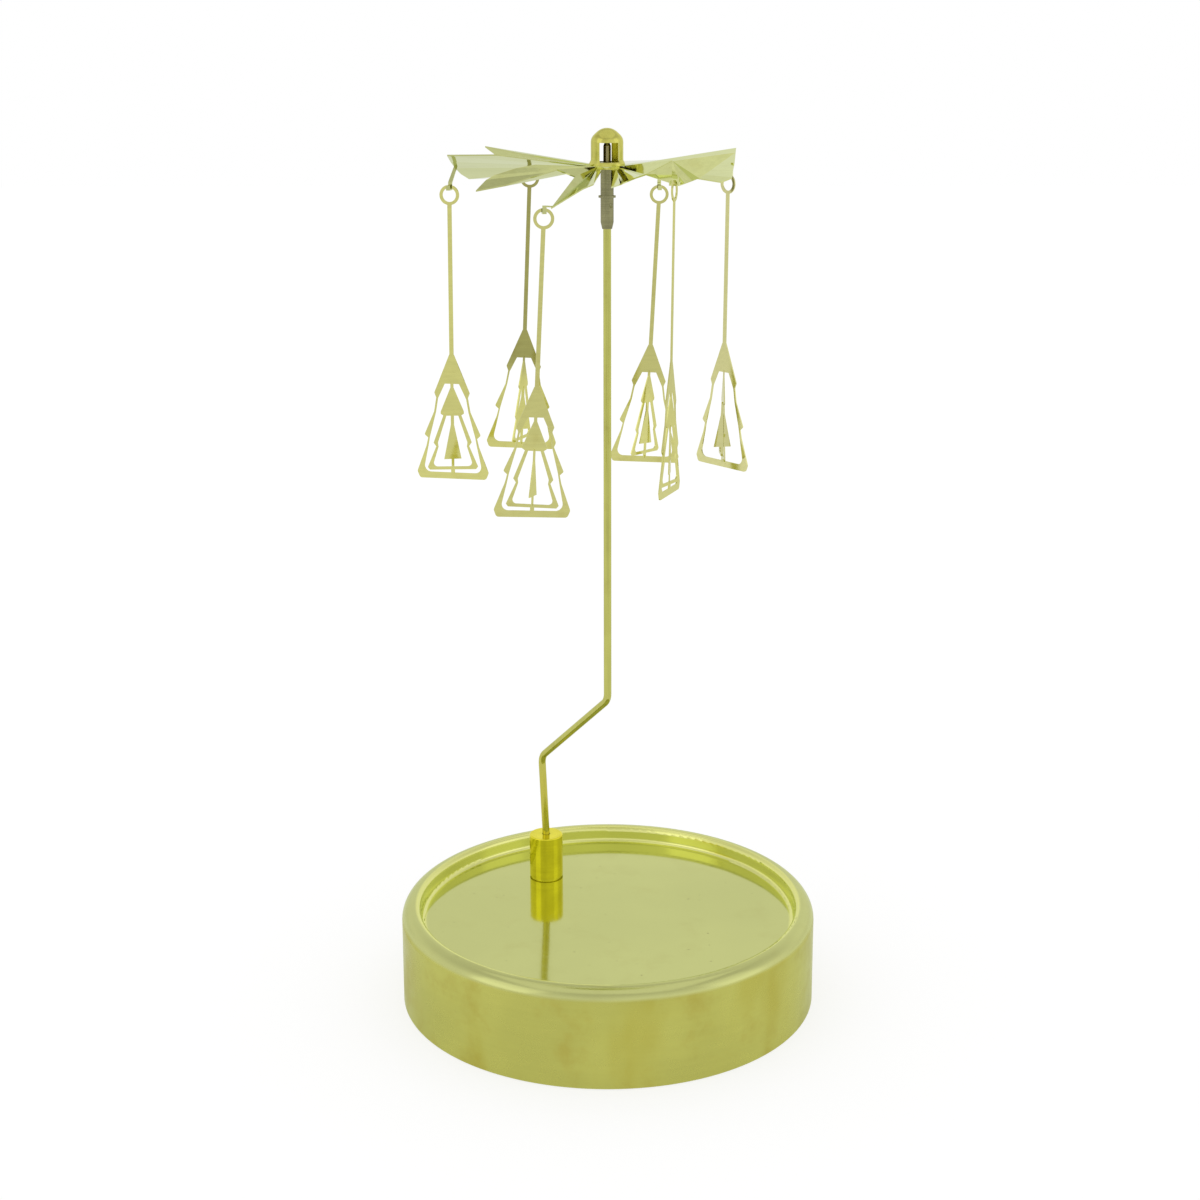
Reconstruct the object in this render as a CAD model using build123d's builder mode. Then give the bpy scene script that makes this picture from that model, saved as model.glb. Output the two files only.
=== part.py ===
from build123d import *
import math
import os

# Millimetres. +Z is up, the origin is the middle of the base's underside and
# -Y is the side that the photograph was taken from.

# Base
base_radius = 50.0
base_height = 23.4
base_sheet = 0.8
rim_width = 4.6
rim_flat = 0.05
rim_inner_rounding = 1.25
tray_depth = 4.0
tray_corner_rounding = 1.0
hem_width = 2.2
plate_thickness = 1.0
fit_gap = 0.1
overrun = 1.0

# Post: collar, washer, screw and bent rod
post_azimuth = 124.22
post_reach = 27.9
collar_radius = 4.2
collar_height = 11.3
collar_edge_rounding = 0.3
collar_groove_height = 0.4
collar_groove_depth = 0.35
rod_radius = 0.9
rod_seat_depth = 7.0
rod_bend_reach = 29.6
rod_lower_bend_height = 51.0
rod_upper_bend_height = 74.0
rod_bend_radius = 3.4
screw_radius = 1.45
screw_head_radius = 2.8
screw_head_height = 1.8
screw_head_rounding = 0.7
screw_slot_width = 0.8
screw_slot_depth = 0.8
screw_reach = 4.2
washer_radius = 4.0
washer_thickness = 0.6

# Height of the fan's hub, from which the sleeve, the needle and the cap follow
fan_height = 199.35
fan_sheet = 0.3

# Needle and its sleeve
sleeve_radius = 1.475
sleeve_length = 14.8
sleeve_above_hub = 1.05
sleeve_taper_length = 1.5
sleeve_taper_depth = 0.35
flange_radius = 1.95
flange_thickness = 0.45
flange_rise = 7.0
rod_socket_depth = 9.0
crimp_rise = 5.3
crimp_azimuth = -53.0
crimp_ball_radius = 0.8
crimp_depth = 0.25
needle_radius = 0.85
needle_seat_depth = 5.4
needle_cone_length = 1.9
needle_point_radius = 0.06
needle_gap = 0.15

# Cap and pivot cup
cap_radius = 3.65
cap_wall = 0.5
cap_foot_radius = 4.05
cap_foot_thickness = 0.5
cap_foot_rise = 1.3
cap_wall_height = 5.15
cap_dome_height = 3.2
cap_dome_side_share = 0.72
cap_dome_rise_share = 0.63
window_width = 4.4
window_azimuth = 280.0
back_window_width = 2.9
back_window_azimuth = 98.0
window_sill = 0.85
window_height = 4.3
spigot_radius = 2.6
spigot_wall = 0.5
crimp_flange_radius = 3.2
crimp_flange_thickness = 0.4
cup_flange_rise = 0.1
cup_flange_thickness = 0.4
cup_flange_radius = 2.95
cup_body_radius = 1.6
cup_height = 1.8
cup_seat_radius = 1.0
cup_seat_height = 1.2

# Fan
hub_radius = 4.5
blade_root_radius = 4.1
blade_count = 6
blade_step = 360.0 / blade_count
slit_width = 1.7
blade_reach = 35.0
blade_rise = 3.6
link_root_width = 0.7
hook_drop = 8.0

# Hooks and rings
ring_radius = 2.25
ring_hole_radius = 1.55
hook_width = 0.9
hook_side = 0.95
hook_rise = 1.5
hook_tip_rise = 0.8
hook_gap = 0.13

# Tree pendants
pendant_sheet = 0.3
strip_width = 0.95
apex_drop = 36.1
tree_height = 28.9
tree_half_width = 8.45
frame_corner_rounding = 0.8
frame_inner_rounding = 1.5
tier_corner_rounding = 0.35
middle_inner_rounding = 0.9
tab_half_width = 0.36
foot_tab_half_width = 0.45
trunk_half_width = 0.3
tab_overlap = 0.4

# Outlines of the three nested trees, the right half of each from the top down,
# as shares of the half width and of the height
outer_edge_shares = (
    (0.065, 0.0), (0.492, 0.305), (0.44, 0.345), (0.505, 0.458), (0.783, 0.645),
    (0.683, 0.672), (0.735, 0.738), (1.0, 0.945), (0.925, 1.0),
)
outer_hole_shares = (
    (0.2, 0.232), (0.395, 0.352), (0.457, 0.462), (0.637, 0.662), (0.684, 0.738),
    (0.835, 0.95),
)
middle_edge_shares = (
    (0.043, 0.262), (0.315, 0.455), (0.315, 0.472), (0.245, 0.486), (0.518, 0.705),
    (0.447, 0.735), (0.685, 0.903), (0.628, 0.924),
)
middle_hole_shares = ((0.16, 0.488), (0.4, 0.705), (0.385, 0.738), (0.555, 0.9))
inner_edge_shares = ((0.043, 0.562), (0.237, 0.838))

# Outer edge of each blade in turn about the axis, from its low side to its high
# side: turn from the blade's middle in degrees, share of reach, share of rise
blade_edge_shares = (
    ((-28.8, 0.809, -0.75), (-22.0, 0.84, -0.55), (5.0, 0.824, 0.17), (28.8, 0.975, 0.88)),
    ((-28.5, 0.93, -0.5), (0.0, 0.86, 0.0), (28.0, 0.93, -0.2)),
    (
        (-28.5, 0.94, -0.75), (0.0, 0.85, -0.2), (23.0, 0.918, 0.39), (27.0, 0.967, 0.98),
        (28.8, 0.67, 0.62),
    ),
    (
        (-28.7, 0.938, -0.98), (-23.0, 0.99, -0.97), (-15.0, 0.988, -0.58), (-6.0, 0.986, -0.12),
        (6.0, 0.999, 0.38), (18.0, 1.048, 0.84), (27.0, 0.768, 0.87),
    ),
    (
        (-28.8, 0.527, 0.22), (-28.8, 0.663, 0.04), (-28.8, 0.814, -0.32), (-28.8, 0.875, -0.59),
        (-27.5, 0.959, -1.18), (-17.0, 0.854, -0.81), (-12.0, 0.707, -0.4), (-5.0, 0.539, 0.02),
        (0.0, 0.399, -0.45), (8.0, 0.9, -1.98), (16.0, 0.607, -1.01), (22.0, 0.594, -0.75),
    ),
    (
        (-28.5, 0.93, -0.72), (-24.0, 0.751, -0.66), (-16.0, 0.703, -0.33), (-8.0, 0.621, -0.2),
        (0.0, 0.788, 0.68),
    ),
)
# Flap that is bent down from the last two points of the last blade's edge
flap_shares = (
    (-8.0, 0.621, -0.2), (0.0, 0.778, -0.64), (1.0, 0.857, -0.72), (7.0, 0.838, -0.55),
    (14.0, 0.81, -0.39), (27.0, 0.937, 1.09),
)
# Where the link to each hook leaves its blade, in the same shares
link_root_shares = (
    (2.0, 0.805, 0.2), (5.0, 0.85, -0.03), (7.0, 0.85, 0.0), (-2.0, 0.97, 0.05),
    (8.0, 0.87, -1.9), (3.0, 0.849, -0.6),
)
# Where each hook holds its ring: turn from the blade's middle in degrees, share
# of the blade's reach and share of the hook's drop
hook_shares = (
    (1.0, 0.777, 0.3), (5.0, 0.843, 0.82), (7.0, 0.866, 0.32), (2.0, 1.011, 0.59),
    (3.0, 0.843, 1.0), (-3.1, 0.897, 0.256),
)
# Turns of each pendant in degrees: the whole, its lean, middle tree, inner tree
pendant_turns = (
    (-49.0, 0.8, -38.0, 60.0),
    (4.0, 3.0, 50.0, 40.0),
    (0.0, 2.4, 70.0, 30.0),
    (-10.0, 0.3, 14.0, 24.0),
    (8.0, 2.8, -8.0, 62.0),
    (73.0, 2.5, -6.0, 10.0),
)


def upright(turn):
    # Vertical plane through the axis, drawn with +X along the turn and +Y up.
    angle = math.radians(turn)
    along = (math.cos(angle), math.sin(angle), 0)
    return Plane(origin=(0, 0, 0), x_dir=along, z_dir=(along[1], -along[0], 0))


def polar(turn, reach, height):
    angle = math.radians(turn)
    return Vector(reach * math.cos(angle), reach * math.sin(angle), height)


fan_top = fan_height + fan_sheet
sleeve_top = fan_height + sleeve_above_hub
sleeve_bottom = sleeve_top - sleeve_length
cap_shoulder = fan_top + cap_wall_height
cap_top = cap_shoulder + cap_dome_height
cup_flange_bottom = cap_shoulder + cup_flange_rise
needle_foot = sleeve_top - needle_seat_depth
needle_tip = cup_flange_bottom + cup_seat_height - needle_gap

tray_radius = base_radius - rim_width
rim_outer_rounding = rim_width - rim_flat - rim_inner_rounding
tray_floor = base_height - tray_depth
collar_top = tray_floor + collar_height

# Drawn base shell with a rolled rim and a turned-in hem
with BuildPart() as base_shell:
    with BuildSketch(Plane.XZ):
        with BuildLine():
            FilletPolyline(
                (0, tray_floor),
                (tray_radius, tray_floor),
                (tray_radius, base_height),
                (base_radius, base_height),
                (base_radius, 0),
                radius=(tray_corner_rounding, rim_inner_rounding, rim_outer_rounding),
            )
            Polyline((base_radius, 0), (0, 0), (0, tray_floor))
        make_face()
    revolve(axis=Axis.Z)
    with BuildSketch(Plane.XZ):
        with BuildLine():
            FilletPolyline(
                (0, tray_floor - base_sheet),
                (tray_radius + base_sheet, tray_floor - base_sheet),
                (tray_radius + base_sheet, base_height - base_sheet),
                (base_radius - base_sheet, base_height - base_sheet),
                (base_radius - base_sheet, base_sheet),
                radius=(
                    tray_corner_rounding + base_sheet,
                    rim_inner_rounding - base_sheet,
                    rim_outer_rounding - base_sheet,
                ),
            )
            Polyline(
                (base_radius - base_sheet, base_sheet),
                (base_radius - hem_width, base_sheet),
                (base_radius - hem_width, -overrun),
                (0, -overrun),
                (0, tray_floor - base_sheet),
            )
        make_face()
    revolve(axis=Axis.Z, mode=Mode.SUBTRACT)
    with Locations(polar(post_azimuth, post_reach, tray_floor)):
        Hole(screw_radius + fit_gap)
base_shell.part.label = "base_shell"

# Disc that closes the base from below and rests on the hem
with BuildPart() as base_plate:
    with BuildSketch(Plane.XY.offset(base_sheet)):
        Circle(base_radius - base_sheet - fit_gap)
    extrude(amount=plate_thickness)
base_plate.part.label = "base_plate"

# Path of the rod, from its seat in the collar to its end in the sleeve
rod_plane = upright(post_azimuth)
rod_foot_height = collar_top - rod_seat_depth
rod_leg_slope = (rod_bend_reach - post_reach) / (rod_lower_bend_height - collar_top)
rod_foot_reach = post_reach - rod_leg_slope * rod_seat_depth
rod_foot = rod_plane.from_local_coords((rod_foot_reach, rod_foot_height, 0))
rod_knee = rod_plane.from_local_coords((rod_bend_reach, rod_lower_bend_height, 0))
rod_end_height = sleeve_bottom + rod_socket_depth - fit_gap

# Turned collar that holds the rod
with BuildPart() as post_collar:
    with BuildSketch(Plane(polar(post_azimuth, post_reach, tray_floor))):
        Circle(collar_radius)
    extrude(amount=collar_height)
    fillet(post_collar.edges().group_by(Axis.Z)[-1], radius=collar_edge_rounding)
    with BuildSketch(Plane(polar(post_azimuth, post_reach, tray_floor))):
        Circle(collar_radius)
        Circle(collar_radius - collar_groove_depth, mode=Mode.SUBTRACT)
    extrude(amount=collar_groove_height, mode=Mode.SUBTRACT)
    with BuildSketch(Plane(polar(post_azimuth, post_reach, tray_floor))):
        Circle(screw_radius)
    extrude(amount=screw_reach, mode=Mode.SUBTRACT)
    with BuildSketch(Plane(origin=rod_foot, z_dir=rod_knee - rod_foot)):
        Circle(rod_radius + fit_gap)
    extrude(amount=rod_seat_depth + overrun, mode=Mode.SUBTRACT)
post_collar.part.label = "post_collar"

washer_bottom = tray_floor - base_sheet - washer_thickness
with BuildPart() as collar_washer:
    with BuildSketch(Plane(polar(post_azimuth, post_reach, washer_bottom))):
        Circle(washer_radius)
        Circle(screw_radius + fit_gap, mode=Mode.SUBTRACT)
    extrude(amount=washer_thickness)
collar_washer.part.label = "collar_washer"

with BuildPart() as collar_screw:
    with BuildSketch(Plane(polar(post_azimuth, post_reach, washer_bottom - screw_head_height))):
        Circle(screw_head_radius)
    extrude(amount=screw_head_height)
    fillet(collar_screw.edges().group_by(Axis.Z)[0], radius=screw_head_rounding)
    with BuildSketch(Plane(polar(post_azimuth, post_reach, washer_bottom))):
        Circle(screw_radius - fit_gap)
    extrude(amount=washer_thickness + base_sheet + screw_reach - fit_gap)
    with BuildSketch(Plane(polar(post_azimuth, post_reach, washer_bottom - screw_head_height))):
        Rectangle(screw_head_radius * 2 + overrun, screw_slot_width)
    extrude(amount=screw_slot_depth, mode=Mode.SUBTRACT)
collar_screw.part.label = "collar_screw"

# Bent rod
with BuildPart() as rod:
    with BuildLine(rod_plane) as rod_path:
        FilletPolyline(
            (rod_foot_reach, rod_foot_height),
            (rod_bend_reach, rod_lower_bend_height),
            (0, rod_upper_bend_height),
            (0, rod_end_height),
            radius=rod_bend_radius,
        )
    with BuildSketch(Plane(origin=rod_foot, z_dir=rod_knee - rod_foot)):
        Circle(rod_radius)
    sweep(path=rod_path.wires()[0])
rod.part.label = "rod"

# Sleeve that is crimped over the rod's end and holds the needle
socket_top = sleeve_bottom + rod_socket_depth
flange_bottom = sleeve_bottom + flange_rise
flange_top = flange_bottom + flange_thickness
crimp_reach = sleeve_radius + crimp_ball_radius - crimp_depth
with BuildPart() as needle_sleeve:
    with BuildSketch(Plane.XZ):
        with BuildLine():
            Polyline(
                (rod_radius + fit_gap, sleeve_bottom),
                (sleeve_radius - sleeve_taper_depth, sleeve_bottom),
                (sleeve_radius, sleeve_bottom + sleeve_taper_length),
                (sleeve_radius, flange_bottom),
                (flange_radius, flange_bottom),
                (flange_radius, flange_top),
                (sleeve_radius, flange_top),
                (sleeve_radius, sleeve_top),
                (needle_radius + fit_gap, sleeve_top),
                (needle_radius + fit_gap, needle_foot),
                (0, needle_foot),
                (0, socket_top),
                (rod_radius + fit_gap, socket_top),
                close=True,
            )
        make_face()
    revolve(axis=Axis.Z)
    with Locations(polar(crimp_azimuth, crimp_reach, sleeve_bottom + crimp_rise)):
        Sphere(crimp_ball_radius, mode=Mode.SUBTRACT)
needle_sleeve.part.label = "needle_sleeve"

with BuildPart() as needle:
    with BuildSketch(Plane.XZ):
        with BuildLine():
            Polyline(
                (0, needle_foot),
                (needle_radius, needle_foot),
                (needle_radius, needle_tip - needle_cone_length),
                (needle_point_radius, needle_tip),
                (0, needle_tip),
                close=True,
            )
        make_face()
    revolve(axis=Axis.Z)
needle.part.label = "needle"

# Bullet cap with a window right through it, its spigot turned out below the fan
cap_inner_radius = cap_radius - cap_wall
cap_inner_top = cap_top - cap_wall
inner_dome_height = cap_dome_height - cap_wall
crimp_flange_bottom = fan_height - crimp_flange_thickness
with BuildPart() as rotor_cap:
    with BuildSketch(Plane.XZ):
        with BuildLine():
            Polyline(
                (spigot_radius - spigot_wall, cap_foot_thickness + fan_top),
                (spigot_radius - spigot_wall, crimp_flange_bottom),
                (crimp_flange_radius, crimp_flange_bottom),
                (crimp_flange_radius, fan_height),
                (spigot_radius, fan_height),
                (spigot_radius, fan_top),
                (cap_foot_radius, fan_top),
                (cap_foot_radius, fan_top + cap_foot_thickness),
                (cap_radius, fan_top + cap_foot_rise),
                (cap_radius, cap_shoulder),
            )
            Spline(
                (cap_radius, cap_shoulder),
                (cap_radius * cap_dome_side_share, cap_shoulder + cap_dome_height * cap_dome_rise_share),
                (0, cap_top),
                tangents=((0, 1), (-1, 0)),
            )
            Line((0, cap_top), (0, cap_inner_top))
            Spline(
                (0, cap_inner_top),
                (
                    cap_inner_radius * cap_dome_side_share,
                    cap_shoulder + inner_dome_height * cap_dome_rise_share,
                ),
                (cap_inner_radius, cap_shoulder),
                tangents=((1, 0), (0, -1)),
            )
            Polyline(
                (cap_inner_radius, cap_shoulder),
                (cap_inner_radius, fan_top + cap_foot_thickness),
                (spigot_radius - spigot_wall, fan_top + cap_foot_thickness),
            )
        make_face()
    revolve(axis=Axis.Z)
    with BuildSketch(Plane.XY.offset(fan_top + window_sill)):
        with Locations(Rot(0, 0, window_azimuth) * Pos(cap_foot_radius, 0)):
            Rectangle(cap_foot_radius * 2, window_width)
        with Locations(Rot(0, 0, back_window_azimuth) * Pos(cap_foot_radius, 0)):
            Rectangle(cap_foot_radius * 2, back_window_width)
    extrude(amount=window_height, mode=Mode.SUBTRACT)
rotor_cap.part.label = "rotor_cap"

with BuildPart() as pivot_cup:
    with BuildSketch(Plane.XY.offset(cup_flange_bottom)):
        Circle(cup_flange_radius)
    extrude(amount=cup_flange_thickness)
    with BuildSketch(Plane.XY.offset(cup_flange_bottom)):
        Circle(cup_body_radius)
    extrude(amount=cup_height)
    with BuildSketch(Plane.XZ):
        Polygon(
            (0, cup_flange_bottom),
            (cup_seat_radius, cup_flange_bottom),
            (0, cup_flange_bottom + cup_seat_height),
            align=None,
        )
    revolve(axis=Axis.Z, mode=Mode.SUBTRACT)
pivot_cup.part.label = "pivot_cup"


def blade_point(middle, shares):
    # Point of a blade's lower face.
    turn, reach_share, rise_share = shares
    return polar(middle + turn, blade_reach * reach_share, fan_height + blade_rise * rise_share)


def blade(middle, edge_shares):
    # Thin sheet, creased from the hub to each point of its outer edge.
    centre = polar(middle, blade_root_radius, fan_height)
    slit_turn = math.degrees(math.asin(slit_width / 2 / blade_root_radius))
    root_turn = blade_step / 2 - slit_turn
    rim = [blade_point(middle, shares) for shares in edge_shares]
    rim.insert(0, polar(middle - root_turn, blade_root_radius, fan_height))
    rim.append(polar(middle + root_turn, blade_root_radius, fan_height))
    with BuildPart() as sheet:
        for start, end in zip(rim, rim[1:]):
            patch = Face(Wire.make_polygon((centre, start, end)))
            extrude(patch, amount=fan_sheet, dir=(0, 0, 1))
    return sheet.part


def bent_flap(middle, top_shares, low_shares):
    # Creased sheet that hangs from one point of a blade's edge.
    half_sheet = Vector(0, 0, fan_sheet / 2)
    top = blade_point(middle, top_shares) + half_sheet
    rim = [blade_point(middle, shares) + half_sheet for shares in low_shares]
    outward = upright(middle).x_dir
    with BuildPart() as sheet:
        for start, end in zip(rim, rim[1:]):
            patch = Face(Wire.make_polygon((top, start, end)))
            extrude(patch, amount=fan_sheet / 2, dir=outward, both=True)
    return sheet.part


def hook(root, hook_point, yaw):
    # Narrow link from the blade to a hook that opens upwards.
    along = upright(yaw).x_dir
    across = upright(yaw).z_dir
    side = 1 if across.dot(root - hook_point) > 0 else -1
    top = hook_point + across * (side * hook_side) + Vector(0, 0, hook_rise - fan_sheet / 2)
    root_half = along * (link_root_width / 2)
    top_half = along * (hook_width / 2)
    link = (root - root_half, root + root_half, top + top_half, top - top_half)
    with BuildPart() as strip:
        extrude(Face(Wire.make_polygon(link)), amount=fan_sheet / 2, both=True)
        with BuildSketch(Plane(origin=hook_point, x_dir=across * side, z_dir=-along * side)):
            with Locations((0, -fan_sheet / 2)):
                Rectangle(hook_side * 2 + fan_sheet, fan_sheet)
            with Locations((hook_side, (hook_rise - fan_sheet) / 2)):
                Rectangle(fan_sheet, hook_rise + fan_sheet)
            with Locations((-hook_side, (hook_tip_rise - fan_sheet) / 2)):
                Rectangle(fan_sheet, hook_tip_rise + fan_sheet)
        extrude(amount=hook_width / 2, both=True)
    return strip.part


def tree_outline(apex_height, shares):
    right = [(tree_half_width * x, apex_height - tree_height * y) for x, y in shares]
    left = [(-x, y) for x, y in reversed(right)]
    Polygon(*right, *left, align=None)


def bar(top, bottom, half_width):
    with Locations((0, (top + bottom) / 2)):
        Rectangle(half_width * 2, top - bottom)


def tree_pendant(middle_turn, inner_turn):
    # One stamping that hangs from the origin, its inner trees turned about Z.
    ring_height = hook_gap - math.sqrt(ring_hole_radius**2 - (hook_width / 2) ** 2)
    apex = ring_height - apex_drop
    frame_top = apex - tree_height * outer_hole_shares[0][1]
    frame_foot = apex - tree_height * outer_hole_shares[-1][1]
    middle_top = apex - tree_height * middle_edge_shares[0][1]
    middle_foot = apex - tree_height * middle_edge_shares[-1][1]
    window_top = apex - tree_height * middle_hole_shares[0][1]
    window_foot = apex - tree_height * middle_hole_shares[-1][1]
    inner_top = apex - tree_height * inner_edge_shares[0][1]
    inner_foot = apex - tree_height * inner_edge_shares[-1][1]
    with BuildPart() as pendant:
        with BuildSketch(upright(0)) as silhouette:
            tree_outline(apex, outer_edge_shares)
            rows = silhouette.vertices().group_by(Axis.Y)
            fillet(rows[4] + rows[7], radius=tier_corner_rounding)
            rows = silhouette.vertices().group_by(Axis.Y)
            fillet(rows[0] + rows[1], radius=frame_corner_rounding)
            bar(ring_height - ring_hole_radius, apex - tab_overlap, strip_width / 2)
            with Locations((0, ring_height)):
                Circle(ring_radius)
                Circle(ring_hole_radius, mode=Mode.SUBTRACT)
        extrude(amount=pendant_sheet / 2, both=True)
        with BuildSketch(upright(0)) as opening:
            tree_outline(apex, outer_hole_shares)
            fillet(opening.vertices().group_by(Axis.Y)[0], radius=frame_inner_rounding)
        extrude(amount=pendant_sheet, both=True, mode=Mode.SUBTRACT)
        with BuildSketch(upright(middle_turn)) as frame:
            tree_outline(apex, middle_edge_shares)
            bar(frame_top + tab_overlap, middle_top - tab_overlap, tab_half_width)
            bar(middle_foot + tab_overlap, frame_foot - tab_overlap, foot_tab_half_width)
        extrude(amount=pendant_sheet / 2, both=True)
        with BuildSketch(upright(middle_turn)) as window:
            tree_outline(apex, middle_hole_shares)
            fillet(window.vertices().group_by(Axis.Y)[0], radius=middle_inner_rounding)
        extrude(amount=pendant_sheet, both=True, mode=Mode.SUBTRACT)
        with BuildSketch(upright(inner_turn)):
            tree_outline(apex, inner_edge_shares)
            bar(window_top + tab_overlap, inner_top - tab_overlap, tab_half_width)
            bar(inner_foot + tab_overlap, window_foot - tab_overlap, trunk_half_width)
        extrude(amount=pendant_sheet / 2, both=True)
    return pendant.part


# Fan with its hooks, and the pendants that hang from them
blades = []
pendants = []
for index in range(blade_count):
    middle = index * blade_step
    hook_turn, hook_reach_share, hook_drop_share = hook_shares[index]
    yaw, lean, middle_turn, inner_turn = pendant_turns[index]
    hook_point = polar(
        middle + hook_turn, blade_reach * hook_reach_share, fan_height - hook_drop * hook_drop_share
    )
    link_root = blade_point(middle, link_root_shares[index]) + Vector(0, 0, fan_sheet / 2)
    blades.append(blade(middle, blade_edge_shares[index]))
    blades.append(hook(link_root, hook_point, yaw))
    place = Pos(hook_point) * Rot(0, 0, yaw) * Rot(0, lean, 0)
    pendants.append(tree_pendant(middle_turn, inner_turn).moved(place))
blades.append(bent_flap((blade_count - 1) * blade_step, blade_edge_shares[-1][-1], flap_shares))

with BuildPart() as rotor_fan:
    with BuildSketch(Plane.XY.offset(fan_height)):
        Circle(hub_radius)
        Circle(spigot_radius, mode=Mode.SUBTRACT)
    extrude(amount=fan_sheet)
    add(blades)
rotor_fan.part.label = "rotor_fan"

os.makedirs("parts", exist_ok=True)
export_step(base_shell.part, "parts/base_shell.step")
export_step(base_plate.part, "parts/base_plate.step")
export_step(post_collar.part, "parts/post_collar.step")
export_step(collar_washer.part, "parts/collar_washer.step")
export_step(collar_screw.part, "parts/collar_screw.step")
export_step(rod.part, "parts/rod.step")
export_step(needle_sleeve.part, "parts/needle_sleeve.step")
export_step(needle.part, "parts/needle.step")
export_step(rotor_cap.part, "parts/rotor_cap.step")
export_step(pivot_cup.part, "parts/pivot_cup.step")
export_step(rotor_fan.part, "parts/rotor_fan.step")
for number, tree in enumerate(pendants, start=1):
    tree.label = f"tree_pendant_{number}"
    export_step(tree, f"parts/tree_pendant_{number}.step")
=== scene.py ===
import bpy
import math
from mathutils import Matrix, Vector


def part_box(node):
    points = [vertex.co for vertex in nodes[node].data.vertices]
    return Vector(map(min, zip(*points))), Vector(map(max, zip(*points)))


# Lengths are in metres, a lens and its sensor in millimetres, and colours are linear red, green and blue.

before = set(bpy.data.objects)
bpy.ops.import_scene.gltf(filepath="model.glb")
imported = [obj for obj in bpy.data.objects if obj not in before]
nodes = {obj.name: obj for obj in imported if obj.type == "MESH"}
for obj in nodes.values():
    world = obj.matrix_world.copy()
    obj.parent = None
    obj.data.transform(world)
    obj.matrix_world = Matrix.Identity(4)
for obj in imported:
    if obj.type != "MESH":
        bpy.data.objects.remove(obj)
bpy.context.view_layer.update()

scene = bpy.context.scene
scene.view_settings.view_transform = "Standard"

# Camera fitted to the photograph: 450 mm from the axis, looking 13 degrees down, with a trace of roll
CAMERA_PLACE = (0.0, -0.450, 0.2243)
CAMERA_PITCH = math.radians(90.0 - 12.99)
CAMERA_ROLL = math.radians(-0.06)
LENS_LENGTH = 59.46
SENSOR_WIDTH = 36.0
LENS_SHIFT = (-0.0062, -0.075)
CLIP_START = 0.01
camera_data = bpy.data.cameras.new("camera")
camera = bpy.data.objects.new("camera", camera_data)
scene.collection.objects.link(camera)
scene.camera = camera
camera_data.lens = LENS_LENGTH
camera_data.sensor_width = SENSOR_WIDTH
camera_data.shift_x, camera_data.shift_y = LENS_SHIFT
camera_data.clip_start = CLIP_START
camera.location = CAMERA_PLACE
camera.rotation_euler = (
    Matrix.Rotation(CAMERA_PITCH, 3, "X") @ Matrix.Rotation(CAMERA_ROLL, 3, "Z")
).to_euler()

# Plain values that several materials share
ORIGIN = (0.0, 0.0, 0.0)
NO_TURN = (0.0, 0.0, 0.0)
WHITE = (1.0, 1.0, 1.0, 1.0)
X_AXIS, Y_AXIS, Z_AXIS = range(3)


# Short ways to add shader nodes
def add(tree, kind, values=None, **settings):
    node = tree.nodes.new(kind)
    for key, value in settings.items():
        setattr(node, key, value)
    for key, value in (values or {}).items():
        if isinstance(value, bpy.types.NodeSocket):
            tree.links.new(value, node.inputs[key])
        else:
            node.inputs[key].default_value = value
    return node


def maths(tree, operation, first, second, clamp=False):
    node = add(tree, "ShaderNodeMath", {0: first, 1: second}, operation=operation, use_clamp=clamp)
    return node.outputs[0]


def vector_maths(tree, operation, values):
    return add(tree, "ShaderNodeVectorMath", dict(enumerate(values)), operation=operation).outputs


def parts_of(tree, vector):
    return add(tree, "ShaderNodeSeparateXYZ", {0: vector}).outputs


def remap(tree, value, source, result=(0.0, 1.0)):
    # Smooth step: the two ends of source give the two ends of result
    values = {"Value": value, "From Min": source[0], "From Max": source[1]}
    values |= {"To Min": result[0], "To Max": result[1]}
    return add(tree, "ShaderNodeMapRange", values, interpolation_type="SMOOTHSTEP").outputs["Result"]


def mix(tree, share, first, second, blend="MIX"):
    colours = [c if isinstance(c, bpy.types.NodeSocket) else (*c, 1.0) for c in (first, second)]
    values = {0: share, 6: colours[0], 7: colours[1]}
    return add(tree, "ShaderNodeMix", values, data_type="RGBA", blend_type=blend).outputs[2]


def mix_values(tree, share, first, second):
    return add(tree, "ShaderNodeMix", {0: share, 2: first, 3: second}, data_type="FLOAT").outputs[0]


def grey(tree, value):
    return add(tree, "ShaderNodeCombineColor", {0: value, 1: value, 2: value}).outputs[0]


def times_level(tree, colour, level):
    return mix(tree, 1.0, colour, grey(tree, level), "MULTIPLY")


def noise(tree, where, scale=1.0, detail=3.0, roughness=0.55):
    values = {"Vector": where, "Scale": scale, "Detail": detail, "Roughness": roughness}
    return add(tree, "ShaderNodeTexNoise", values).outputs["Fac"]


def stretched(tree, where, scale, turn=NO_TURN):
    values = {"Vector": where, "Rotation": turn, "Scale": scale}
    return add(tree, "ShaderNodeMapping", values).outputs["Vector"]


DRIFT_PER_RADIAN = 0.0006


def around(tree, where, centre):
    # Radius and height about a vertical axis, and marks that make noise run round in slightly uneven rings
    x, y, height = parts_of(tree, vector_maths(tree, "SUBTRACT", (where, centre))[0])
    flat = add(tree, "ShaderNodeCombineXYZ", {0: x, 1: y, 2: 0.0}).outputs[0]
    radius = vector_maths(tree, "LENGTH", (flat,))["Value"]
    drift = maths(tree, "MULTIPLY", maths(tree, "ARCTAN2", y, x), DRIFT_PER_RADIAN)
    marks = add(tree, "ShaderNodeCombineXYZ", {0: radius, 1: height, 2: drift}).outputs[0]
    return marks, radius, height


EDGE_SAMPLES = 4
EDGE_SPAN = (0.985, 0.80)


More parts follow.
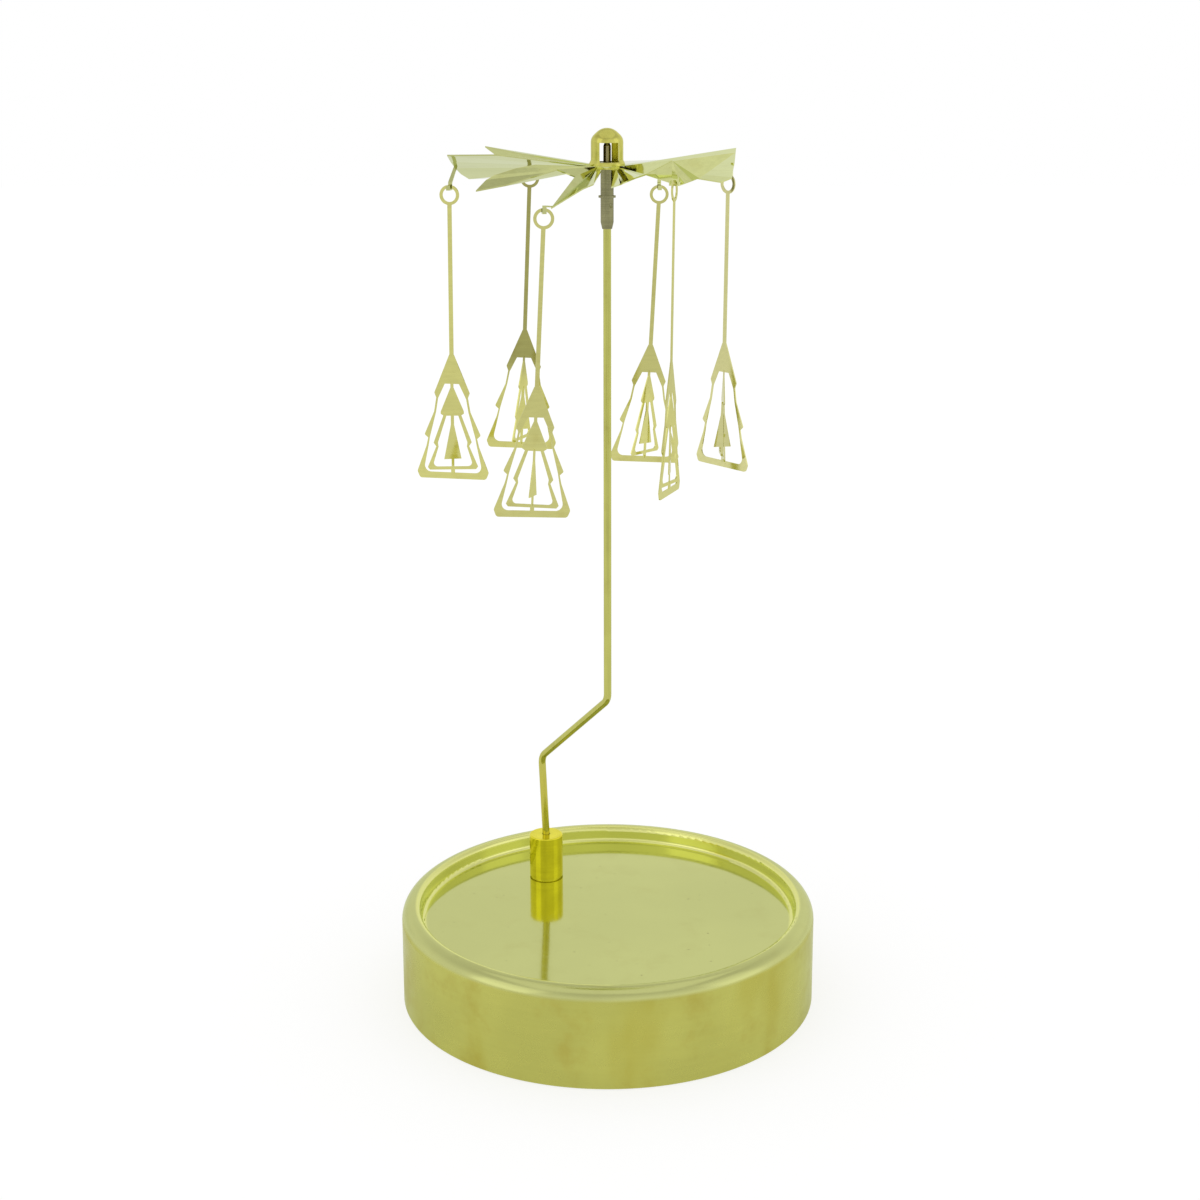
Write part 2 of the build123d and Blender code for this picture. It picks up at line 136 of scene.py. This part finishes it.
def worn_edge(tree, colour, radius, share, tone):
    # Within a small radius the normal turns much on an edge and not at all on a face
    soft = add(tree, "ShaderNodeBevel", {"Radius": radius}, samples=EDGE_SAMPLES).outputs["Normal"]
    plain = add(tree, "ShaderNodeNewGeometry").outputs["Normal"]
    likeness = vector_maths(tree, "DOT_PRODUCT", (soft, plain))["Value"]
    edge = remap(tree, likeness, EDGE_SPAN)
    return mix(tree, maths(tree, "MULTIPLY", edge, share), colour, tone)


PATCH_DETAIL = 5.0
PATCH_ROUGHNESS = 0.62
PATCH_SPAN = (0.50, 0.74)
CLOUD_SPAN = (0.30, 0.70)


def worn(tree, where, tone, stain, stain_share, cloud_scale, patch_scale, spread):
    # A tone that wanders softly, with faint patches of tarnish
    cloud = noise(tree, where, cloud_scale)
    patch = noise(tree, where, patch_scale, PATCH_DETAIL, PATCH_ROUGHNESS)
    level = remap(tree, cloud, CLOUD_SPAN, (1.0 - spread, 1.0 + spread / 2.0))
    mask = remap(tree, patch, PATCH_SPAN, (0.0, stain_share))
    return mix(tree, mask, times_level(tree, tone, level), stain), patch


def shader(name):
    material = bpy.data.materials.new(name)
    material.use_nodes = True
    tree = material.node_tree
    where = add(tree, "ShaderNodeTexCoord").outputs["Object"]
    return material, tree, tree.nodes["Principled BSDF"], where


def bumps(tree, layers):
    # Each layer is a height, its strength and its depth; the first is the deepest one
    normal = None
    for height, strength, depth in layers:
        values = {"Strength": strength, "Distance": depth, "Height": height}
        if normal is not None:
            values["Normal"] = normal
        normal = add(tree, "ShaderNodeBump", values).outputs["Normal"]
    return normal


def finish(tree, bsdf, colour, roughness, normal, tint):
    bsdf.inputs["Metallic"].default_value = 1.0
    bsdf.inputs["Specular Tint"].default_value = (*tint, 1.0)
    tree.links.new(colour, bsdf.inputs["Base Color"])
    tree.links.new(roughness, bsdf.inputs["Roughness"])
    tree.links.new(normal, bsdf.inputs["Normal"])


# Where the base's finish changes, each a start and an end
BASE_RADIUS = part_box("base_shell")[1][0]
BASE_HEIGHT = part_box("base_shell")[1][2]
SIDE_EDGE = (BASE_RADIUS - 0.0016, BASE_RADIUS - 0.0007)
SIDE_TOP = (BASE_HEIGHT - 0.0018, BASE_HEIGHT - 0.0028)
RIM_EDGE = (BASE_RADIUS - 0.0037, BASE_RADIUS - 0.0030)
WELL_EDGE = (BASE_RADIUS - 0.0062, BASE_RADIUS - 0.0054)
TRAY_EDGE = (BASE_RADIUS - 0.0060, BASE_RADIUS - 0.0068)

POLISHED_TONE = (0.608, 0.630, 0.245)
POLISHED_STAIN = (0.390, 0.325, 0.070)
WELL_SHEEN_TONE = (0.860, 0.865, 0.300)
WELL_SHEEN_SHARE = 0.85
WELL_SOFTENING = 0.09
RIM_SOFTENING = 0.11
SATIN_SHADED_TONE = (0.560, 0.558, 0.135)
SATIN_STAIN = (0.470, 0.390, 0.070)
RUN_TONE = (0.463, 0.404, 0.045)
DUST_TONE = (0.20, 0.17, 0.06)


def base_brass():
    # Mirror tray, softer rim and well wall, satin side with golden runs: told apart by radius and height;
    # the well wall's paler tone is painted sheen and the side's darker tone partly painted shade
    material, tree, bsdf, where = shader("base_brass")
    marks, radius, height = around(tree, where, ORIGIN)
    beyond_side = remap(tree, radius, SIDE_EDGE)
    side = maths(tree, "MULTIPLY", beyond_side, remap(tree, height, SIDE_TOP), clamp=True)
    rim = remap(tree, radius, RIM_EDGE)
    inside = maths(tree, "SUBTRACT", 1.0, rim)
    well = maths(tree, "MULTIPLY", inside, remap(tree, radius, WELL_EDGE), clamp=True)
    tray = remap(tree, radius, TRAY_EDGE)

    polished, _ = worn(
        tree,
        where,
        POLISHED_TONE,
        POLISHED_STAIN,
        stain_share=0.10,
        cloud_scale=18.0,
        patch_scale=90.0,
        spread=0.05,
    )
    # Painted sheen: the well wall is painted paler and brighter than the tray
    polished = mix(tree, maths(tree, "MULTIPLY", well, WELL_SHEEN_SHARE), polished, WELL_SHEEN_TONE)
    # Partly painted shade: the side's tone is set darker than the tray's, besides its own satin finish
    satin_and_shade, mottle = worn(
        tree,
        where,
        SATIN_SHADED_TONE,
        SATIN_STAIN,
        stain_share=0.50,
        cloud_scale=36.0,
        patch_scale=85.0,
        spread=0.07,
    )
    colour = mix(tree, side, polished, satin_and_shade)
    drawn = noise(tree, stretched(tree, where, scale=(55.0, 55.0, 900.0)), detail=4.0)
    streak = remap(tree, drawn, source=(0.30, 0.72), result=(0.985, 1.012))
    colour = times_level(tree, colour, mix_values(tree, side, 1.0, streak))
    run = noise(tree, stretched(tree, where, scale=(42.0, 42.0, 17.0)))
    gold = remap(tree, run, source=(0.48, 0.70), result=(0.0, 0.60))
    colour = mix(tree, maths(tree, "MULTIPLY", gold, side), colour, RUN_TONE)
    dust = remap(tree, noise(tree, where, scale=820.0, detail=1.0), source=(0.765, 0.80), result=(0.0, 0.6))
    colour = mix(tree, maths(tree, "MULTIPLY", dust, tray), colour, DUST_TONE)
    colour = worn_edge(tree, colour, radius=0.0004, share=0.30, tone=(0.76, 0.75, 0.32))

    turning = noise(tree, stretched(tree, marks, scale=(1600.0, 1600.0, 60.0)), detail=2.0)
    smooth = remap(tree, turning, source=(0.25, 0.75), result=(0.060, 0.110))
    smooth = maths(tree, "ADD", smooth, maths(tree, "MULTIPLY", well, WELL_SOFTENING))
    smooth = maths(tree, "ADD", smooth, maths(tree, "MULTIPLY", rim, RIM_SOFTENING))
    rough = remap(tree, mottle, source=(0.30, 0.75), result=(0.24, 0.38))
    roughness = mix_values(tree, side, smooth, rough)
    wave = noise(tree, where, scale=60.0, detail=2.0)
    side_lines = maths(tree, "MULTIPLY", drawn, side)
    normal = bumps(tree, [(wave, 0.5, 0.00005), (side_lines, 0.10, 0.000015), (turning, 0.06, 0.000008)])
    finish(tree, bsdf, colour, roughness, normal, tint=(0.92, 0.95, 0.80))
    return material


def turned_brass(name, centre, tone, stain, lines, tint):
    # Small turned parts: fine rings of the tool round the part's own axis, about so many lines to the metre
    material, tree, bsdf, where = shader(name)
    marks, _, _ = around(tree, where, centre)
    colour, patch = worn(
        tree, where, tone, stain, stain_share=0.35, cloud_scale=160.0, patch_scale=420.0, spread=0.12
    )
    tool = noise(tree, stretched(tree, marks, scale=(lines, lines, 220.0)), detail=2.0, roughness=0.6)
    colour = times_level(tree, colour, remap(tree, tool, source=(0.28, 0.72), result=(0.95, 1.03)))
    colour = worn_edge(tree, colour, radius=0.00015, share=0.30, tone=(0.90, 0.84, 0.26))
    roughness = remap(tree, tool, source=(0.2, 0.8), result=(0.10, 0.18))
    normal = bumps(tree, [(tool, 0.05, 0.000004), (patch, 0.12, 0.00001)])
    finish(tree, bsdf, colour, roughness, normal, tint)
    return material


ROD_TONE = (0.590, 0.590, 0.160)
ROD_STAIN = (0.450, 0.390, 0.105)
ROD_FOOT_TONE = (0.620, 0.560, 0.075)
ROD_FOOT_SHARE = 0.7
COLLAR_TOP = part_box("post_collar")[1][2]
ROD_FOOT_END = (COLLAR_TOP + 0.0273, COLLAR_TOP + 0.0113)


def rod_brass():
    # Drawn wire: faint lines along its run, patches of tarnish, and a more golden foot
    material, tree, bsdf, where = shader("rod_brass")
    colour, patch = worn(
        tree, where, ROD_TONE, ROD_STAIN, stain_share=0.30, cloud_scale=55.0, patch_scale=260.0, spread=0.08
    )
    height = parts_of(tree, where)[Z_AXIS]
    foot = remap(tree, height, ROD_FOOT_END, (0.0, ROD_FOOT_SHARE))
    colour = mix(tree, foot, colour, ROD_FOOT_TONE)
    line = noise(tree, stretched(tree, where, scale=(2600.0, 2600.0, 45.0)))
    colour = times_level(tree, colour, remap(tree, line, source=(0.28, 0.74), result=(0.91, 1.05)))
    roughness = remap(tree, line, source=(0.2, 0.8), result=(0.08, 0.20))
    normal = bumps(tree, [(patch, 0.20, 0.00001), (line, 0.25, 0.000006)])
    finish(tree, bsdf, colour, roughness, normal, tint=(0.86, 0.86, 0.72))
    return material


ROUGHNESS_RATIO = 2.2


def sheet_brass(
    name, tone, stain, stain_share, wave_depth, smoothest, tint, grain_turn, painted_shade_axis, painted_shade_span, painted_shade_level
):
    # Rolled sheet: mirror bright, gently wavy and finely grained, with bright cut edges and a painted shade
    # that darkens the tone along one axis
    material, tree, bsdf, where = shader(name)
    colour, patch = worn(
        tree, where, tone, stain, stain_share, cloud_scale=26.0, patch_scale=210.0, spread=0.08
    )
    place = parts_of(tree, where)[painted_shade_axis]
    # Painted shade: the tone is darkened along one axis, from the first end of the span to the second
    colour = times_level(tree, colour, remap(tree, place, painted_shade_span, (1.0, painted_shade_level)))
    grain = noise(tree, stretched(tree, where, scale=(70.0, 1500.0, 1500.0), turn=grain_turn))
    colour = times_level(tree, colour, remap(tree, grain, source=(0.28, 0.74), result=(0.95, 1.03)))
    speck = noise(tree, where, scale=900.0, detail=1.0)
    colour = mix(tree, remap(tree, speck, source=(0.775, 0.81), result=(0.0, 0.5)), colour, stain)
    colour = worn_edge(tree, colour, radius=0.00012, share=0.25, tone=(0.80, 0.76, 0.32))
    roughness = remap(tree, grain, source=(0.2, 0.8), result=(smoothest, smoothest * ROUGHNESS_RATIO))
    wave = noise(tree, where, scale=95.0, detail=2.0)
    normal = bumps(tree, [(wave, 0.6, wave_depth), (patch, 0.10, 0.000008), (grain, 0.10, 0.000004)])
    finish(tree, bsdf, colour, roughness, normal, tint)
    return material


SLEEVE_TONE = (0.310, 0.300, 0.158)
SLEEVE_STAIN = (0.180, 0.158, 0.082)


def sleeve_grey():
    # Dull grey-olive sleeve: turned rings, handling marks and lighter worn edges
    material, tree, bsdf, where = shader("sleeve_grey")
    marks, _, _ = around(tree, where, ORIGIN)
    colour, patch = worn(
        tree,
        where,
        SLEEVE_TONE,
        SLEEVE_STAIN,
        stain_share=0.40,
        cloud_scale=240.0,
        patch_scale=620.0,
        spread=0.12,
    )
    tool = noise(tree, stretched(tree, marks, scale=(5200.0, 5200.0, 160.0)), roughness=0.6)
    colour = times_level(tree, colour, remap(tree, tool, source=(0.26, 0.74), result=(0.80, 1.12)))
    colour = worn_edge(tree, colour, radius=0.00012, share=0.5, tone=(0.56, 0.55, 0.42))
    roughness = remap(tree, tool, source=(0.2, 0.8), result=(0.24, 0.42))
    normal = bumps(tree, [(patch, 0.35, 0.00002), (tool, 0.25, 0.000010)])
    finish(tree, bsdf, colour, roughness, normal, tint=(0.80, 0.80, 0.74))
    return material


NEEDLE_TONE = (0.300, 0.262, 0.125)
NEEDLE_STAIN = (0.190, 0.135, 0.040)


def needle_steel():
    # Hardened pin: dark polished steel with straw tempering colour and fine ground rings
    material, tree, bsdf, where = shader("needle_steel")
    marks, _, _ = around(tree, where, ORIGIN)
    colour, _ = worn(
        tree,
        where,
        NEEDLE_TONE,
        NEEDLE_STAIN,
        stain_share=0.5,
        cloud_scale=300.0,
        patch_scale=500.0,
        spread=0.15,
    )
    tool = noise(tree, stretched(tree, marks, scale=(4000.0, 9000.0, 100.0)), detail=2.0)
    colour = times_level(tree, colour, remap(tree, tool, source=(0.3, 0.7), result=(0.85, 1.1)))
    roughness = remap(tree, tool, source=(0.2, 0.8), result=(0.16, 0.30))
    normal = bumps(tree, [(tool, 0.12, 0.000004)])
    finish(tree, bsdf, colour, roughness, normal, tint=(0.8, 0.8, 0.7))
    return material


ZINC_TONE = (0.56, 0.57, 0.56)
ZINC_STAIN = (0.36, 0.36, 0.34)
SPANGLE_SCALE = 420.0


def zinc(name, centre):
    # Zinc plate: pale grey with a faint spangle, duller where it was handled
    material, tree, bsdf, where = shader(name)
    marks, _, _ = around(tree, where, centre)
    colour, patch = worn(
        tree, where, ZINC_TONE, ZINC_STAIN, stain_share=0.4, cloud_scale=60.0, patch_scale=240.0, spread=0.10
    )
    cells = add(tree, "ShaderNodeTexVoronoi", {"Vector": where, "Scale": SPANGLE_SCALE}, feature="F1")
    spangle = remap(tree, cells.outputs["Distance"], source=(0.0, 1.0), result=(0.94, 1.05))
    colour = times_level(tree, colour, spangle)
    colour = worn_edge(tree, colour, radius=0.00015, share=0.4, tone=(0.70, 0.70, 0.68))
    tool = noise(tree, stretched(tree, marks, scale=(1800.0, 1800.0, 90.0)), detail=2.0)
    roughness = remap(tree, patch, source=(0.2, 0.8), result=(0.26, 0.42))
    normal = bumps(tree, [(patch, 0.25, 0.00002), (tool, 0.25, 0.000008)])
    finish(tree, bsdf, colour, roughness, normal, tint=(0.9, 0.9, 0.9))
    return material


def axis_of(node):
    # Middle of a turned node seen from above
    corner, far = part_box(node)
    return ((corner[0] + far[0]) / 2.0, (corner[1] + far[1]) / 2.0, 0.0)


fastener_zinc = zinc("fastener_zinc", axis_of("collar_screw"))
materials = {
    "base_shell": base_brass(),
    "post_collar": turned_brass(
        "collar_brass",
        axis_of("post_collar"),
        tone=(0.850, 0.770, 0.048),
        stain=(0.76, 0.65, 0.028),
        lines=2400.0,
        tint=(1.0, 1.0, 0.8),
    ),
    "rod": rod_brass(),
    "needle_sleeve": sleeve_grey(),
    "needle": needle_steel(),
    "rotor_cap": turned_brass(
        "cap_brass",
        ORIGIN,
        tone=(0.680, 0.650, 0.150),
        stain=(0.45, 0.38, 0.07),
        lines=1500.0,
        tint=(0.92, 0.92, 0.75),
    ),
    "pivot_cup": turned_brass(
        "cup_brass",
        ORIGIN,
        tone=(0.54, 0.49, 0.13),
        stain=(0.40, 0.33, 0.08),
        lines=3000.0,
        tint=(0.9, 0.9, 0.7),
    ),
    "rotor_fan": sheet_brass(
        "fan_brass",
        tone=(0.725, 0.756, 0.325),
        stain=(0.50, 0.42, 0.07),
        stain_share=0.16,
        wave_depth=0.00006,
        smoothest=0.04,
        tint=(0.94, 0.97, 0.86),
        grain_turn=(0.0, 0.0, math.radians(25.0)),
        # Painted shade: the fan is painted darker towards its left side
        painted_shade_axis=X_AXIS,
        painted_shade_span=(0.020, -0.020),
        painted_shade_level=0.82,
    ),
    "collar_screw": fastener_zinc,
    "collar_washer": fastener_zinc,
    "base_plate": zinc("plate_zinc", ORIGIN),
}

# Pendants: share of tarnish, how light and how pale the brass is, and the level of the painted shade at the
# apex
PENDANT_LOOKS = [
    (0.06, 1.05, 0.340, 0.95),
    (0.30, 1.02, 0.260, 0.86),
    (0.30, 1.00, 0.235, 0.58),
    (0.14, 1.05, 0.260, 0.97),
    (0.20, 0.97, 0.255, 0.94),
    (0.16, 0.98, 0.250, 0.95),
]
PENDANT_RED = 0.720
PENDANT_GREEN = 0.700
APEX_SHADE_START = 0.015
APEX_SHADE_END = 0.023
for number, (share, lightness, paleness, apex_shade_level) in enumerate(PENDANT_LOOKS, start=1):
    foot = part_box(f"tree_pendant_{number}")[0][2]
    materials[f"tree_pendant_{number}"] = sheet_brass(
        f"pendant_brass_{number}",
        tone=(PENDANT_RED * lightness, PENDANT_GREEN * lightness, paleness),
        stain=(0.46, 0.38, 0.08),
        stain_share=share,
        wave_depth=0.00008,
        smoothest=0.05,
        tint=(0.86, 0.86, 0.70),
        grain_turn=(0.0, math.radians(90.0), 0.0),
        # Painted shade: each pendant is painted darker towards its apex, under the fan
        painted_shade_axis=Z_AXIS,
        painted_shade_span=(foot + APEX_SHADE_START, foot + APEX_SHADE_END),
        painted_shade_level=apex_shade_level,
    )

for name, obj in nodes.items():
    for slot in obj.material_slots:
        slot.material = materials[name]

# Floor: pale and plain, with the object's soft shadow, brightening with distance towards the white behind; a
# painted shadow darkens its front as metal sees it
FLOOR_HALF_SIDE = 3.0
FLOOR_HEIGHT = -0.0002
FIBRE_SCALE = 900.0
PAPER_LEVELS = (0.78, 0.82)
SHADE_LEVEL = 0.34
GLOW_SPAN = (0.20, 0.80)
GLOW_LEVELS = (0.715, 0.750)
FRONT_SHADOW_SPAN = (-0.18, -0.42)
FRONT_PAINTED_SHADOW = (0.14, 0.22)
corners = [
    (-FLOOR_HALF_SIDE, -FLOOR_HALF_SIDE, FLOOR_HEIGHT),
    (FLOOR_HALF_SIDE, -FLOOR_HALF_SIDE, FLOOR_HEIGHT),
    (FLOOR_HALF_SIDE, FLOOR_HALF_SIDE, FLOOR_HEIGHT),
    (-FLOOR_HALF_SIDE, FLOOR_HALF_SIDE, FLOOR_HEIGHT),
]
floor_mesh = bpy.data.meshes.new("floor")
floor_mesh.from_pydata(corners, [], [(0, 1, 2, 3)])
floor = bpy.data.objects.new("floor", floor_mesh)
scene.collection.objects.link(floor)

floor_material = bpy.data.materials.new("floor_paper")
floor_material.use_nodes = True
tree = floor_material.node_tree
tree.nodes.clear()
output = add(tree, "ShaderNodeOutputMaterial")
where = add(tree, "ShaderNodeTexCoord").outputs["Object"]
path = add(tree, "ShaderNodeLightPath").outputs
seen = maths(tree, "ADD", path["Is Camera Ray"], path["Is Glossy Ray"])
seen = maths(tree, "ADD", seen, path["Is Transmission Ray"], clamp=True)
fibre = noise(tree, where, FIBRE_SCALE, detail=2.0)
paper = grey(tree, remap(tree, fibre, source=(0.2, 0.8), result=PAPER_LEVELS))
bounce = add(tree, "ShaderNodeBsdfDiffuse", {"Color": paper}).outputs[0]
shade_colour = (SHADE_LEVEL, SHADE_LEVEL, SHADE_LEVEL, 1.0)
shade = add(tree, "ShaderNodeBsdfDiffuse", {"Color": shade_colour}).outputs[0]
distance = vector_maths(tree, "LENGTH", (where,))["Value"]
brightness = remap(tree, distance, GLOW_SPAN, GLOW_LEVELS)
# Painted shadow: towards the front the floor is darker, only for glossy rays
front_shadow_share = remap(tree, parts_of(tree, where)[Y_AXIS], FRONT_SHADOW_SPAN, FRONT_PAINTED_SHADOW)
painted_front_shadow = maths(tree, "MULTIPLY", front_shadow_share, path["Is Glossy Ray"])
strength = maths(tree, "SUBTRACT", brightness, painted_front_shadow)
glow = add(tree, "ShaderNodeEmission", {"Color": WHITE, "Strength": strength}).outputs[0]
pale = add(tree, "ShaderNodeAddShader", {0: shade, 1: glow}).outputs[0]
both = add(tree, "ShaderNodeMixShader", {0: seen, 1: bounce, 2: pale}).outputs[0]
tree.links.new(both, output.inputs["Surface"])
floor_mesh.materials.append(floor_material)

# World: white to the eye, a softly uneven studio to metal, and plain soft light for everything else
SOFT_LEVEL = 0.78
SKY_RISE = (0.30, 0.95)
SKY_LEVELS = (0.86, 0.62)
DRIFT_SCALE = 1.7
DRIFT_SPAN = (0.32, 0.68)
DRIFT_LEVELS = (0.94, 1.05)
world = bpy.data.worlds.new("studio")
scene.world = world
world.use_nodes = True
tree = world.node_tree
tree.nodes.clear()
output = add(tree, "ShaderNodeOutputWorld")
path = add(tree, "ShaderNodeLightPath").outputs
direction = add(tree, "ShaderNodeTexCoord").outputs["Generated"]
rise = remap(tree, parts_of(tree, direction)[Z_AXIS], SKY_RISE, SKY_LEVELS)
drift = remap(tree, noise(tree, direction, DRIFT_SCALE, detail=2.0), DRIFT_SPAN, DRIFT_LEVELS)
mirrored = maths(tree, "MULTIPLY", rise, drift)
seen = maths(tree, "ADD", path["Is Camera Ray"], path["Is Transmission Ray"], clamp=True)
unseen = mix_values(tree, path["Is Glossy Ray"], SOFT_LEVEL, mirrored)
level = mix_values(tree, seen, unseen, 1.0)
sky = add(tree, "ShaderNodeBackground", {"Color": WHITE, "Strength": level}).outputs[0]
tree.links.new(sky, output.inputs["Surface"])

# Lamps: name, place, target, width, depth and radiance
LAMPS = [
    ("lamp_top", (0.0, 0.0, 0.95), ORIGIN, 1.0, 1.0, 0.24),
    ("lamp_left", (-0.62, -0.38, 0.46), (0.0, 0.0, 0.08), 0.5, 0.6, 0.35),
    ("lamp_right", (0.66, -0.20, 0.40), (0.0, 0.0, 0.10), 0.4, 0.6, 0.20),
]
for name, place, target, width, depth, radiance in LAMPS:
    # The power of an even lamp is its radiance times pi times its area
    data = bpy.data.lights.new(name, "AREA")
    data.shape = "RECTANGLE"
    data.size = width
    data.size_y = depth
    data.energy = radiance * math.pi * width * depth
    lamp = bpy.data.objects.new(name, data)
    lamp.location = place
    lamp.rotation_euler = (Vector(place) - Vector(target)).to_track_quat("Z", "Y").to_euler()
    scene.collection.objects.link(lamp)
